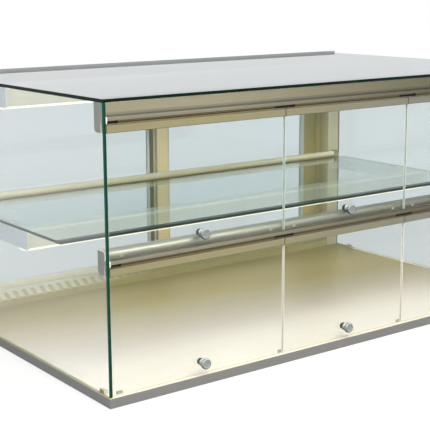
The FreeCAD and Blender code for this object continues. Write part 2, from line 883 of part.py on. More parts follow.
def shelf_rail_sockets():
    # a cup round each end of the tube, on a stalk with a round foot against the post
    end = post_face + rail_tube_inset
    start = end - socket_length
    cup = Part.makeCylinder(rail_tube_radius + socket_wall, socket_length,
                            point(start, rail_tube_y, rail_tube_height), point(1, 0, 0))
    seat = Part.makeCylinder(rail_tube_radius, socket_length - socket_floor,
                             point(start, rail_tube_y, rail_tube_height), point(1, 0, 0))
    middle = (start + end) / 2
    stalk = Part.makeCylinder(socket_stalk_radius, end_glass_depth - rail_tube_y,
                              point(middle, rail_tube_y, rail_tube_height), point(0, 1, 0))
    foot = Part.makeCylinder(socket_foot_radius, socket_foot,
                             point(middle, end_glass_depth - socket_foot, rail_tube_height), point(0, 1, 0))
    socket = cup.fuse([stalk, foot]).removeSplitter().cut(seat)
    return Part.makeCompound([socket, mirrored(socket)])


def light_parts():
    top_bracket_top = top_glass_foot - top_bracket_gap
    places = {"shelf": (shelf_bracket_front, bracket_top, shelf_bracket_height, shelf_housing_height),
              "top": (top_bracket_front, top_bracket_top, top_bracket_height, top_housing_height)}
    parts = {}
    for name, (front, top, height, light_height) in places.items():
        bracket = left_bracket(front, top, height)
        light_front = front + housing_setback
        parts[name + "_left_bracket"] = bracket
        parts[name + "_right_bracket"] = mirrored(bracket)
        parts[name + "_light_housing"] = light_housing(light_front, top, light_height)
        parts[name + "_light_diffuser"] = light_diffuser(light_front, top, light_height)
        parts[name + "_led_board"] = led_board(light_front, top)
    return parts


def flap_parts():
    tiers = {"upper": (top_hinge_height, mid_hinge_height + lip_height + flap_lip_gap),
             "lower": (mid_hinge_height, base_height + flap_foot_gap)}
    parts = {}
    for tier, (hinge_height, foot) in tiers.items():
        for side, span in flap_spans().items():
            name = tier + "_" + side
            parts[name + "_flap_clamp"] = flap_clamp(span, hinge_height)
            parts[name + "_flap_glass"] = flap_glass(span, hinge_height, foot)
            parts[name + "_flap_knob"] = flap_knob(span, foot)
    return parts


def door_parts():
    parts = {}
    for piece, shape in (("frame", door_frame()), ("glass", door_glass()), ("shoes", door_shoes())):
        parts["right_door_" + piece] = shape
        parts["left_door_" + piece] = as_left_door(shape)
    return parts


def case_parts():
    top_rail = (top_hinge_height, fascia_setback, top_rail_rise, rail_round)
    mid_rail = (mid_hinge_height, mid_rail_face, mid_rail_rise, mid_rail_nose)
    end_glass = left_end_glass()
    post = rear_left_post()
    return {
        "base_tray": base_tray(),
        "base_underplate": base_underplate(),
        "base_stiffeners": base_stiffeners(),
        "led_driver": led_driver(),
        "cable_grommet": cable_grommet(),
        "left_end_glass": end_glass,
        "right_end_glass": mirrored(end_glass),
        "top_glass": top_glass(),
        "end_glass_clips": end_glass_clips(),
        "top_front_rail": front_rail(*top_rail),
        "mid_front_rail": front_rail(*mid_rail),
        "top_rail_end_caps": rail_end_caps(*top_rail),
        "mid_rail_end_caps": rail_end_caps(*mid_rail),
        "flap_buffers": flap_buffers(),
        "rear_left_post": post,
        "rear_right_post": mirrored(post),
        "rear_header": rear_header(),
        "rear_bottom_track": rear_bottom_track(),
        "rear_vent_sill": rear_vent_sill(),
        "shelf_glass": shelf_glass(),
        "shelf_pads": shelf_pads(),
        "shelf_rear_rail": shelf_rear_rail(),
        "shelf_rail_sockets": shelf_rail_sockets(),
    }


os.makedirs("parts", exist_ok=True)
pieces = {**case_parts(), **light_parts(), **flap_parts(), **door_parts()}
for name, shape in pieces.items():
    # the origin lies under the middle of the part's box
    shape.translate(point(0, front_shift, 0))
    shape.exportStep("parts/" + name + ".step")
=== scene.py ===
import math

import bpy
import numpy as np
from mathutils import Matrix, Vector


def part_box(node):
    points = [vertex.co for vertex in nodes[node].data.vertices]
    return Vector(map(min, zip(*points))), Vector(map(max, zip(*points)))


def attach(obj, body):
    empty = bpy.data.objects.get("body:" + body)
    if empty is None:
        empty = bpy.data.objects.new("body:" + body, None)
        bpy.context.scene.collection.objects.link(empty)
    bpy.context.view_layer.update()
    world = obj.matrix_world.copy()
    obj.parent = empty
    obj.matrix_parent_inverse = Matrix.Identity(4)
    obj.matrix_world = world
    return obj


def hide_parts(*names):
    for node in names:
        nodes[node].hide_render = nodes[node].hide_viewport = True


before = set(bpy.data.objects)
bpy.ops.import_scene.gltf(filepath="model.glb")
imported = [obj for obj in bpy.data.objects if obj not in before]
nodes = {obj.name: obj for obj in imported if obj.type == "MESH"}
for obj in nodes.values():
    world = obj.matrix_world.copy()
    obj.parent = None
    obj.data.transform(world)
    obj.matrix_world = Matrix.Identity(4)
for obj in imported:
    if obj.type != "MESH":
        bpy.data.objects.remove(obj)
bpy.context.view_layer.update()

mm = 0.001
print("frame:", len(nodes), "nodes")


# small helpers for nodes and meshes

def linear(code):
    # an sRGB hex value to linear red, green, blue and full alpha
    level = np.array([int(code[i:i + 2], 16) for i in (0, 2, 4)]) / 255
    bent = np.where(level <= 0.04045, level / 12.92, ((level + 0.055) / 1.055) ** 2.4)
    return (*bent.tolist(), 1.0)


def addNode(tree, kind, settings=None, links=None):
    # settings are sockets' values or the node's own options, links are sockets and what feeds them
    node = tree.nodes.new("ShaderNode" + kind)
    for key, value in (settings or {}).items():
        if isinstance(key, int) or key in node.inputs:
            node.inputs[key].default_value = value
        else:
            setattr(node, key, value)
    for key, source in (links or {}).items():
        tree.links.new(source, node.inputs[key])
    return node


def newMaterial(name):
    material = bpy.data.materials.new(name)
    material.use_nodes = True
    material.node_tree.nodes.clear()
    return material, material.node_tree


def finish(names, material):
    for name in names:
        for slot in nodes[name].material_slots:
            slot.material = material


def named(*ends):
    return [name for name in nodes if name.endswith(ends)]


def enclosed(grid):
    # volume inside a wrapped grid with its two ends, below zero when the faces look inwards: the sum of the
    # pyramids from the grid's middle to each face
    grid = grid - grid.mean((0, 1))
    beside = np.roll(grid, -1, 1)
    a, b, c, d = grid[:-1], grid[1:], beside[1:], beside[:-1]
    sides = (a * (np.cross(b, c) + np.cross(c, d))).sum()
    ends = [(ring.mean(0) * np.cross(ring, np.roll(ring, -1, 0)).sum(0)).sum() for ring in (grid[0], grid[-1])]
    return (sides + ends[0] - ends[1]) / 6


def sheetsMesh(name, grids, wrap=False):
    # grids of one layout, rows by columns of points, in one mesh; wrapped ones join their last column to the first
    # and are closed at both ends, so each is a body of its own, turned so that its faces look outwards
    points, faces, first = [], [], 0
    for grid in grids:
        if wrap and enclosed(grid) < 0:
            grid = grid[:, ::-1]
        rows, columns = grid.shape[:2]
        i, j = np.meshgrid(np.arange(rows - 1), np.arange(columns - (not wrap)), indexing="ij")
        here, after = i * columns, (j + 1) % columns
        cells = np.stack([here + j, here + columns + j, here + columns + after, here + after], -1) + first
        faces += cells.reshape(-1, 4).tolist()
        ring = np.arange(columns) + first
        if wrap:
            faces += [ring.tolist(), (ring[::-1] + (rows - 1) * columns).tolist()]
        points.append(grid.reshape(-1, 3))
        first += rows * columns
    mesh = bpy.data.meshes.new(name)
    mesh.from_pydata(np.concatenate(points).tolist(), [], faces)
    mesh.validate()
    piece = bpy.data.objects.new(name, mesh)
    bpy.context.scene.collection.objects.link(piece)
    return piece


def addPiece(piece, body, material, smooth=True):
    piece.data.materials.append(material)
    piece.data.polygons.foreach_set("use_smooth", [smooth] * len(piece.data.polygons))
    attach(piece, body)


# camera, at the photograph's viewing angle

cameraPlace = {"place": (-1.6107, -2.0503, 0.7835), "pitch": 11.77, "yaw": 36.39, "roll": -0.34,
               "lens": 92.82, "shift": (0.0128, -0.0042)}


def placeCamera(look):
    pitch, yaw, roll = (math.radians(look[key]) for key in ("pitch", "yaw", "roll"))
    ahead = Vector((math.sin(yaw) * math.cos(pitch), math.cos(yaw) * math.cos(pitch), -math.sin(pitch)))
    level = Vector((math.cos(yaw), -math.sin(yaw), 0))
    above = level.cross(ahead)
    right = math.cos(roll) * level + math.sin(roll) * above
    up = right.cross(ahead)
    turn = Matrix((right, up, -ahead)).transposed().to_4x4()
    camera = bpy.data.objects.new("camera", bpy.data.cameras.new("camera"))
    camera.matrix_world = Matrix.Translation(look["place"]) @ turn
    camera.data.lens = look["lens"]
    camera.data.shift_x, camera.data.shift_y = look["shift"]
    bpy.context.scene.collection.objects.link(camera)
    bpy.context.scene.camera = camera


placeCamera(cameraPlace)
bpy.context.scene.view_settings.view_transform = "Standard"
print("camera placed")


# studio: white surroundings, plain floor, soft lamps

studio = {"white": "FFFFFF", "worldLight": 0.45, "floorTone": "F4F4F4", "floorGlow": 0.78,"floorFade": (1.0, 2.2),
          "floorSize": 14.0,
          "lamps": {  # place, target, width and height in metres, power, tone
              "overhead": ((0.0, -0.1, 2.4), (0.0, 0.0, 0.3), (1.3, 1.3), 11.0, "FFFFFF"),
              "frontWash": ((-0.2, -1.3, 1.15), (0.0, -0.2, 0.05), (1.8, 0.5), 31.0, "FFF4DF"),
              "left": ((-2.4, -1.5, 0.95), (0.0, 0.1, 0.15), (1.4, 1.0), 22.0, "FFFFFF"),
              "right": ((2.8, -0.8, 1.6), (0.0, 0.0, 0.3), (1.6, 1.6), 8.0, "FFFFFF")}}


def seenDirectly(tree):
    # one for rays from the eye, from glossy surfaces and through glass
    light = addNode(tree, "LightPath")
    first = addNode(tree, "Math", {"operation": "MAXIMUM"},
                    {0: light.outputs["Is Camera Ray"], 1: light.outputs["Is Glossy Ray"]})
    return addNode(tree, "Math", {"operation": "MAXIMUM"},
                   {0: first.outputs[0], 1: light.outputs["Is Transmission Ray"]}).outputs[0]


def buildStudio(look):
    world = bpy.data.worlds.new("studio")
    world.use_nodes = True
    tree = world.node_tree
    tree.nodes.clear()
    shown = addNode(tree, "Background", {"Color": linear(look["white"]), "Strength": 1.0})
    lit = addNode(tree, "Background", {"Color": linear(look["white"]), "Strength": look["worldLight"]})
    both = addNode(tree, "MixShader", None, {0: seenDirectly(tree), 1: lit.outputs[0], 2: shown.outputs[0]})
    addNode(tree, "OutputWorld", None, {"Surface": both.outputs[0]})
    bpy.context.scene.world = world

    material, tree = newMaterial("studioFloorPaper")  # matt paper, which keeps a faint shadow
    coords = addNode(tree, "TexCoord")
    fleck = addNode(tree, "TexNoise", {"Scale": 40.0, "Detail": 2.0}, {"Vector": coords.outputs["Object"]})
    tone = addNode(tree, "Mix", {"data_type": "RGBA", 6: linear(look["floorTone"]), 7: linear("FAFAFA")},
                   {0: fleck.outputs[0]})
    paper = addNode(tree, "BsdfDiffuse", None, {"Color": tone.outputs[2]})
    glow = addNode(tree, "Emission", {"Color": linear(look["white"]), "Strength": 1.0})
    away = addNode(tree, "VectorMath", {"operation": "LENGTH"}, {0: coords.outputs["Object"]}).outputs["Value"]
    fade = addNode(tree, "MapRange", {"From Min": look["floorFade"][0], "From Max": look["floorFade"][1],
                                      "To Min": look["floorGlow"], "To Max": 1.0}, {"Value": away})
    share = addNode(tree, "Math", {"operation": "MULTIPLY"}, {0: seenDirectly(tree), 1: fade.outputs[0]})
    both = addNode(tree, "MixShader", None, {0: share.outputs[0], 1: paper.outputs[0], 2: glow.outputs[0]})
    addNode(tree, "OutputMaterial", None, {"Surface": both.outputs[0]})
    span = np.linspace(-look["floorSize"], look["floorSize"], 5)
    x, y = np.meshgrid(span, span, indexing="ij")
    floor = sheetsMesh("floor", [np.stack([x, y, np.full_like(x, -0.0002)], -1)])
    floor.data.materials.append(material)

    for name, (place, target, size, power, tone) in look["lamps"].items():
        lamp = bpy.data.lights.new(name, "AREA")
        lamp.shape = "RECTANGLE"
        lamp.size, lamp.size_y = size
        lamp.energy = power
        lamp.color = linear(tone)[:3]
        lampObject = bpy.data.objects.new(name, lamp)
        lampObject.location = place
        lampObject.visible_glossy = False  # glass and metal mirror the even white room, not the lamp panels
        lampObject.rotation_euler = (Vector(target) - Vector(place)).to_track_quat("-Z", "Y").to_euler()
        bpy.context.scene.collection.objects.link(lampObject)


buildStudio(studio)
print("studio built")


# materials

def grained(tree, lineMm, runMm, along):
    # noise drawn out along one axis: lines about lineMm wide and runMm long
    scale = [1000 / lineMm] * 3
    scale["XYZ".index(along)] = 1000 / runMm
    coords = addNode(tree, "TexCoord")
    mapped = addNode(tree, "Mapping", {"Scale": scale}, {"Vector": coords.outputs["Object"]})
    return addNode(tree, "TexNoise", {"Scale": 1.0, "Detail": 3.0}, {"Vector": mapped.outputs[0]}).outputs[0]


def paintedFacingLight(tree, below, level, above):
    # painted shade and reflection: deeper on faces turned down, lighter on faces turned up, as metal looks over a
    # counter
    coords = addNode(tree, "TexCoord")
    up = addNode(tree, "SeparateXYZ", None, {0: coords.outputs["Normal"]}).outputs["Z"]
    under = addNode(tree, "MapRange", {"From Min": 0.0, "From Max": -0.7}, {"Value": up}).outputs[0]
    over = addNode(tree, "MapRange", {"From Min": 0.0, "From Max": 0.8}, {"Value": up}).outputs[0]
    lower = addNode(tree, "Mix", {"data_type": "RGBA", 6: linear(level), 7: linear(below)}, {0: under}).outputs[2]
    return addNode(tree, "Mix", {"data_type": "RGBA", 7: linear(above)}, {0: over, 6: lower}).outputs[2]


def withGrain(tree, tone, grain, share):
    # the tone a little darker in the grain's hollows
    depth = addNode(tree, "MapRange", {"From Min": 0.3, "From Max": 0.7, "To Min": 1 - share, "To Max": 1.0},
                    {"Value": grain}).outputs[0]
    return addNode(tree, "Mix", {"data_type": "RGBA", "blend_type": "MULTIPLY", 0: 1.0},
                   {6: tone, 7: depth}).outputs[2]


def metalSkin(tree, tone, grain, metallic, roughness, bumpMm, sheen=0.5):
    gloss = addNode(tree, "MapRange", {"To Min": roughness - 0.05, "To Max": roughness + 0.05}, {"Value": grain})
    bump = addNode(tree, "Bump", {"Strength": 0.25, "Distance": bumpMm * mm}, {"Height": grain})
    metal = addNode(tree, "BsdfPrincipled", {"Metallic": metallic, "Specular IOR Level": sheen},
                    {"Base Color": withGrain(tree, tone, grain, 0.12), "Roughness": gloss.outputs[0],
                     "Normal": bump.outputs[0]})
    addNode(tree, "OutputMaterial", None, {"Surface": metal.outputs[0]})
    return metal


def metalFinish(name, tones, metallic, roughness, lineMm, runMm, along, bumpMm):
    # a metal with grain along one axis; tones are those of faces turned down, level and up, a painted shade and a
    # painted highlight
    material, tree = newMaterial(name)
    metalSkin(tree, paintedFacingLight(tree, *tones), grained(tree, lineMm, runMm, along), metallic, roughness, bumpMm)
    return material


def plasticFinish(name, dark, light, roughness, grainMm, bumpMm):
    # moulded plastic or rubber: even tone with a fine pitted skin
    material, tree = newMaterial(name)
    pits = grained(tree, grainMm, grainMm, "X")
    bump = addNode(tree, "Bump", {"Strength": 0.3, "Distance": bumpMm * mm}, {"Height": pits})
    tone = addNode(tree, "Mix", {"data_type": "RGBA", 6: linear(dark), 7: linear(light)}, {0: pits}).outputs[2]
    skin = addNode(tree, "BsdfPrincipled", {"Roughness": roughness}, {"Base Color": tone, "Normal": bump.outputs[0]})
    addNode(tree, "OutputMaterial", None, {"Surface": skin.outputs[0]})
    return material


# painted light and shade on the deck: pale at the front fading to olive at the rear, reaching olive sooner towards
# the right; the skirt's tones by facing
deckLook = {"tones": ("F5EAE3", "B8A66E", "AA9A5A"), "fadesMm": ((100.0, 540.0), (540.0, 720.0)), "skew": 0.17,
            "skirt": ("64666A", "727477", "92959A"), "metallic": 0.2, "roughness": 0.4, "sheen": 0.12}


def deckSheet(look):
    # satin steel brushed along the front, with painted light: pale where the front glass lights it, a painted shade
    # of warm olive in the depth of the case
    material, tree = newMaterial("brushedDeckSteel")
    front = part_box("base_tray")[0][1]
    coords = addNode(tree, "TexCoord")
    depth = addNode(tree, "VectorMath", {"operation": "DOT_PRODUCT", 1: (look["skew"], 1.0, 0.0)},
                    {0: coords.outputs["Object"]}).outputs["Value"]
    deck = None
    for tone, (start, end) in zip(look["tones"][1:], look["fadesMm"]):
        share = addNode(tree, "MapRange", {"interpolation_type": "SMOOTHSTEP", "From Min": front + start * mm,
                                           "From Max": front + end * mm}, {"Value": depth})
        links = {0: share.outputs[0], 6: deck} if deck else {0: share.outputs[0]}
        deck = addNode(tree, "Mix", {"data_type": "RGBA", 6: linear(look["tones"][0]), 7: linear(tone)},
                       links).outputs[2]
    facing = addNode(tree, "SeparateXYZ", None, {0: coords.outputs["Normal"]})
    isTop = addNode(tree, "MapRange", {"From Min": 0.5, "From Max": 0.95}, {"Value": facing.outputs["Z"]})
    tone = addNode(tree, "Mix", {"data_type": "RGBA"},
                   {0: isTop.outputs[0], 6: paintedFacingLight(tree, *look["skirt"]), 7: deck}).outputs[2]
    metalSkin(tree, tone, grained(tree, 1.2, 140, "X"), look["metallic"], look["roughness"], 0.02, look["sheen"])
    return material


# painted light and shade: sheet and felt tones by facing, and far, a painted shade towards the right
sillLook = {"sheet": ("A5A188", "B4A46E", "F2EBD2"), "felt": ("B8AE7C", "B8AE7C", "DACFA0"), "far": "B4A970",
            "fade": (-0.4, 0.0), "sheen": 0.15}


def sillFinish(name, kind, roughness, grainMm, bumpMm, look):
    # painted light by facing: a riser in a warm olive painted shade and a cream slope, with olive felt under the
    # slots; all in painted shade, olive towards the right
    material, tree = newMaterial(name)
    coords = addNode(tree, "TexCoord")
    along = addNode(tree, "SeparateXYZ", None, {0: coords.outputs["Object"]}).outputs["X"]
    share = addNode(tree, "MapRange", {"interpolation_type": "SMOOTHSTEP", "From Min": look["fade"][0],
                                       "From Max": look["fade"][1]}, {"Value": along}).outputs[0]
    tone = addNode(tree, "Mix", {"data_type": "RGBA", 7: linear(look["far"])},
                   {0: share, 6: paintedFacingLight(tree, *look[kind])}).outputs[2]
    metalSkin(tree, tone, grained(tree, *grainMm, "X"), 0.0, roughness, bumpMm, look["sheen"])
    return material


# painted shade and highlight: rail, lip and clamp tones by facing; crown a painted highlight, recess a painted shade
hingeLook = {"topRail": ("55534A", "9C9882", "ABA896"), "midRail": ("55534A", "6C6C5C", "A9A695"),
             "lip": ("5E5C4E", "8A887A", "8E8C7E"), "lipMm": 12.0, "crownMm": (14.6, 5.6),
             "clamp": ("5E5A47", "9A9472", "8E8868"), "clampFar": "82837A", "crown": "B9B8AA",
             "dull": "B4B3AB", "dullFrom": (-0.35, 0.3), "recess": "665C40", "beadMm": 3.5, "channelMm": 4.3,
             "metallic": 0.8, "roughness": 0.44}


def hingeProfile(name, kind, look):
    # anodised extrusion, satin champagne grey with die lines, in painted shade and highlight by facing; the hinge
    # groove is dark with painted shade
    material, tree = newMaterial(name)
    coords = addNode(tree, "TexCoord")
    tone = paintedFacingLight(tree, *look[kind])
    height = addNode(tree, "SeparateXYZ", None, {0: coords.outputs["Object"]}).outputs["Z"]
    if kind == "midRail":
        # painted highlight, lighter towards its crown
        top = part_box("mid_front_rail")[1][2]
        start, end = (top - depth * mm for depth in look["crownMm"])
        rise = addNode(tree, "MapRange", {"interpolation_type": "SMOOTHSTEP", "From Min": start, "From Max": end},
                       {"Value": height}).outputs[0]
        tone = addNode(tree, "Mix", {"data_type": "RGBA", 7: linear(look["crown"])}, {0: rise, 6: tone}).outputs[2]
    if kind != "clamp":
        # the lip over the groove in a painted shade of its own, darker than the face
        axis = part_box("upper_middle_flap_clamp" if kind == "topRail" else "lower_middle_flap_clamp")[1][2]
        onLip = addNode(tree, "Math", {"operation": "LESS_THAN", 1: axis + look["lipMm"] * mm},
                        {0: height}).outputs[0]
        tone = addNode(tree, "Mix", {"data_type": "RGBA"},
                       {0: onLip, 6: tone, 7: paintedFacingLight(tree, *look["lip"])}).outputs[2]
    # greyer towards the right
    along = addNode(tree, "SeparateXYZ", None, {0: coords.outputs["Object"]}).outputs["X"]
    share = addNode(tree, "MapRange", {"From Min": look["dullFrom"][0], "From Max": look["dullFrom"][1]},
                    {"Value": along}).outputs[0]
    tone = addNode(tree, "Mix", {"data_type": "RGBA", "blend_type": "MIX" if kind == "clamp" else "MULTIPLY",
                                 7: linear(look["clampFar" if kind == "clamp" else "dull"])},
                   {0: share, 6: tone}).outputs[2]
    # painted shade: the hinge channel round each clamp's bead axis drawn dark
    flat = addNode(tree, "VectorMath", {"operation": "MULTIPLY", 1: (0.0, 1.0, 1.0)}, {0: coords.outputs["Object"]})
    for clamp in ("upper_middle_flap_clamp", "lower_middle_flap_clamp"):
        low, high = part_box(clamp)
        axis = (0.0, (low[1] + high[1]) / 2, high[2] - look["beadMm"] * mm)
        away = addNode(tree, "VectorMath", {"operation": "DISTANCE", 1: axis}, {0: flat.outputs[0]}).outputs["Value"]
        inside = addNode(tree, "Math", {"operation": "LESS_THAN", 1: look["channelMm"] * mm}, {0: away}).outputs[0]
        tone = addNode(tree, "Mix", {"data_type": "RGBA", 7: linear(look["recess"])}, {0: inside, 6: tone}).outputs[2]
    metalSkin(tree, tone, grained(tree, 1.5, 220, "X"), look["metallic"], look["roughness"], 0.015)
    return material


# edge tones: arris a painted highlight, the flaps' pale edges a painted highlight, glow a painted glow
glassLooks = {
    "end": {"tint": ("E8EDEE", "E2E8E9"), "edge": ("02201A", "0E4034"), "arris": "154A3C", "side": -1.0, "glow": 0.0,
            "band": ("left_end_glass", 3.0), "seat": (2.2, "A9AE58")},
    "top": {"tint": ("D6E0E5", "64798A"), "edge": ("020C09", "081C17"), "arris": "10281F", "side": 1.0, "glow": 0.0,
            "deeper": (-0.6, 0.5, "A6C9D2"), "ior": 1.45},
    "shelf": {"tint": ("DEEAE7", "D5E3E0"), "edge": ("021711", "0A2A20"), "arris": "0E3026", "side": 1.0, "glow": 0.0,
              "band": ("shelf_glass", 16.0)},
    "upperFlap": {"tint": ("E6ECED", "E2E8E9"), "edge": ("84908D", "A0ACA9"), "arris": "AEB9B6", "side": -1.0,
                  "glow": 0.0, "foot": "6C705F", "ior": 1.32},
    "lowerFlap": {"tint": ("E6ECED", "E2E8E9"), "edge": ("A4A29C", "C2C0BA"), "arris": "D0CEC8", "side": -1.0,
                  "glow": 0.04, "foot": "C9CBB8", "ior": 1.32},
    "door": {"tint": ("E6ECED", "E2E8E9"), "edge": ("06241C", "164036"), "arris": "5E7F75", "side": -1.0,
             "glow": 0.0},
}


def floatGlass(kind, axis):
    # float glass: clear faces with a blue-grey cast, deeper along a slant; edges bottle green, or pale as a painted
    # highlight on the flaps, with a lighter painted highlight on the arris
    look = glassLooks[kind]
    material, tree = newMaterial("floatGlass" + kind[0].upper() + kind[1:])
    coords = addNode(tree, "TexCoord")
    facing = addNode(tree, "SeparateXYZ", None, {0: coords.outputs["Normal"]})
    place = addNode(tree, "SeparateXYZ", None, {0: coords.outputs["Object"]})
    square = addNode(tree, "Math", {"operation": "ABSOLUTE"}, {0: facing.outputs[axis]})
    isFace = addNode(tree, "Math", {"operation": "GREATER_THAN", 1: 0.9}, {0: square.outputs[0]})
    if "band" in look:
        # painted reflection: the front edge drawn wider, over the faces next to it, as it shows through them
        node, width = look["band"]
        behind = addNode(tree, "Math", {"operation": "GREATER_THAN", 1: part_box(node)[0][1] + width * mm},
                         {0: place.outputs["Y"]})
        isFace = addNode(tree, "Math", {"operation": "MULTIPLY"}, {0: isFace.outputs[0], 1: behind.outputs[0]})
    if "seat" in look:
        # and the foot, on the deck, as a yellow-green line
        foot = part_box(look["band"][0])[0][2] + look["seat"][0] * mm
        above = addNode(tree, "Math", {"operation": "GREATER_THAN", 1: foot}, {0: place.outputs["Z"]})
        isFace = addNode(tree, "Math", {"operation": "MULTIPLY"}, {0: isFace.outputs[0], 1: above.outputs[0]})
    turnedOut = addNode(tree, "Math", {"operation": "MULTIPLY", 1: look["side"]}, {0: facing.outputs[axis]})
    isArris = addNode(tree, "Math", {"operation": "COMPARE", 1: 0.65, 2: 0.2}, {0: turnedOut.outputs[0]})
    slant = addNode(tree, "LayerWeight", {"Blend": 0.5})
    cast = addNode(tree, "Mix", {"data_type": "RGBA", 6: linear(look["tint"][0]), 7: linear(look["tint"][1])},
                   {0: slant.outputs["Facing"]}).outputs[2]
    if "deeper" in look:
        # the cast grows towards the right
        start, end, tone = look["deeper"]
        share = addNode(tree, "MapRange", {"From Min": start, "From Max": end}, {"Value": place.outputs["X"]})
        cast = addNode(tree, "Mix", {"data_type": "RGBA", "blend_type": "MULTIPLY", 7: linear(tone)},
                       {0: share.outputs[0], 6: cast}).outputs[2]
    clear = addNode(tree, "BsdfPrincipled",
                    {"Roughness": 0.0, "IOR": look.get("ior", 1.5), "Transmission Weight": 1.0}, {"Base Color": cast})
    streak = addNode(tree, "TexNoise", {"Scale": 90.0, "Detail": 2.0}, {"Vector": coords.outputs["Object"]})
    depth = addNode(tree, "Mix", {"data_type": "RGBA", 6: linear(look["edge"][0]), 7: linear(look["edge"][1])},
                    {0: streak.outputs[0]}).outputs[2]
    # painted highlight: the arris in a lighter tone than the edge
    rim = addNode(tree, "Mix", {"data_type": "RGBA", 7: linear(look["arris"])},
                  {0: isArris.outputs[0], 6: depth}).outputs[2]
    if "seat" in look:
        rim = addNode(tree, "Mix", {"data_type": "RGBA", 6: linear(look["seat"][1])},
                      {0: above.outputs[0], 7: rim}).outputs[2]
    if "foot" in look:
        # the lower edge stands in the shade of the rail
        level = addNode(tree, "Math", {"operation": "ABSOLUTE"}, {0: facing.outputs["Z"]})
        isFoot = addNode(tree, "Math", {"operation": "GREATER_THAN", 1: 0.5}, {0: level.outputs[0]})
        rim = addNode(tree, "Mix", {"data_type": "RGBA", 7: linear(look["foot"])},
                      {0: isFoot.outputs[0], 6: rim}).outputs[2]
    # the edge's emission is a painted glow, set above zero on the lower flaps
    edge = addNode(tree, "BsdfPrincipled",
                   {"Roughness": 0.2, "Specular IOR Level": 0.08, "Emission Strength": look["glow"]},
                   {"Base Color": rim, "Emission Color": rim})
    pane = addNode(tree, "MixShader", None, {0: isFace.outputs[0], 1: edge.outputs[0], 2: clear.outputs[0]})
    through = addNode(tree, "BsdfTransparent", {"Color": linear("FAFBFB")})
    light = addNode(tree, "LightPath")
    both = addNode(tree, "MixShader", None,
                   {0: light.outputs["Is Shadow Ray"], 1: pane.outputs[0], 2: through.outputs[0]})
    addNode(tree, "OutputMaterial", None, {"Surface": both.outputs[0]})
    return material


# painted shade and light for the rear frame: closing, foot and side tones, and the tones by facing
rearLook = {"post": ("8C8660", "AFA66E", "C9C2A0"), "postFront": "C9C3A4", "fadeMm": 34.0,
            "door": ("A39B74", "EBD7A8", "F6EFD6"), "closing": ("9C9058", "C6B56C"), "closingMm": 496.0,
            "closingFade": (0.34, 0.22), "side": "B4B4A8", "foot": "FFF8E0", "footMm": 45.0}


def rearProfile(name, kind, look):
    # anodised golden extrusion with die lines along it, in painted shade and highlight by facing: greyer on the
    # posts' fronts, painted shade on the closing stiles, painted light in pale grey on cut edges and side faces and
    # along the doors' foot rails
    material, tree = newMaterial(name)
    coords = addNode(tree, "TexCoord")
    place = addNode(tree, "SeparateXYZ", None, {0: coords.outputs["Object"]})
    tone = paintedFacingLight(tree, *look[kind])
    if kind == "post":
        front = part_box("rear_left_post")[0][1]
        shares = [(addNode(tree, "MapRange", {"From Min": front + look["fadeMm"] * mm, "From Max": front},
                           {"Value": place.outputs["Y"]}).outputs[0], look["postFront"])]
    else:
        outwards = addNode(tree, "Math", {"operation": "ABSOLUTE"}, {0: place.outputs["X"]}).outputs[0]
        facing = addNode(tree, "SeparateXYZ", None, {0: coords.outputs["Normal"]})
        across = addNode(tree, "Math", {"operation": "ABSOLUTE"}, {0: facing.outputs["X"]}).outputs[0]
        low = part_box("left_door_frame")[0][2]
        # painted shade: the closing stiles deeper, a lighter gold towards their foot
        onStile = addNode(tree, "Math", {"operation": "GREATER_THAN", 1: look["closingMm"] * mm}, {0: outwards})
        lower = addNode(tree, "MapRange", {"From Min": look["closingFade"][0], "From Max": look["closingFade"][1]},
                        {"Value": place.outputs["Z"]})
        lowOnStile = addNode(tree, "Math", {"operation": "MULTIPLY"}, {0: onStile.outputs[0], 1: lower.outputs[0]})
        shares = [(addNode(tree, "Math", {"operation": "LESS_THAN", 1: low + look["footMm"] * mm},
                           {0: place.outputs["Z"]}).outputs[0], look["foot"]),
                  (onStile.outputs[0], look["closing"][0]), (lowOnStile.outputs[0], look["closing"][1]),
                  (addNode(tree, "Math", {"operation": "GREATER_THAN", 1: 0.7}, {0: across}).outputs[0],
                   look["side"])]
    for share, code in shares:
        tone = addNode(tree, "Mix", {"data_type": "RGBA", 7: linear(code)}, {0: share, 6: tone}).outputs[2]
    metal = metalSkin(tree, tone, grained(tree, 1.5, 220, "Z"), 0.3, 0.36, 0.015, 0.3)
    if kind == "door":
        # painted light: the foot rails drawn pale, and less metallic
        bright = addNode(tree, "MapRange", {"To Min": 0.3, "To Max": 0.0}, {"Value": shares[0][0]})
        tree.links.new(bright.outputs[0], metal.inputs["Metallic"])
    return material


# tones by facing are painted shade and highlight; edge is a painted highlight
channelLook = {"tones": ("C5C2B0", "D0CEBE", "EDE8D4"), "edge": "FFFCF0", "edgeMm": 5.0}


def lightChannel(name, node, look):
    # anodised light channel, satin, with a painted highlight along its top arris
    material, tree = newMaterial(name)
    coords = addNode(tree, "TexCoord")
    height = addNode(tree, "SeparateXYZ", None, {0: coords.outputs["Object"]}).outputs["Z"]
    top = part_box(node)[1][2]
    # painted highlight within edgeMm of the top
    onEdge = addNode(tree, "Math", {"operation": "GREATER_THAN", 1: top - look["edgeMm"] * mm},
                     {0: height}).outputs[0]
    tone = addNode(tree, "Mix", {"data_type": "RGBA", 7: linear(look["edge"])},
                   {0: onEdge, 6: paintedFacingLight(tree, *look["tones"])}).outputs[2]
    metalSkin(tree, tone, grained(tree, 1.5, 220, "X"), 0.3, 0.36, 0.015)
    return material


lightLook = {"tone": "FFEFCB", "top": 0.5, "shelf": 0.5, "chipPitchMm": 36.0}


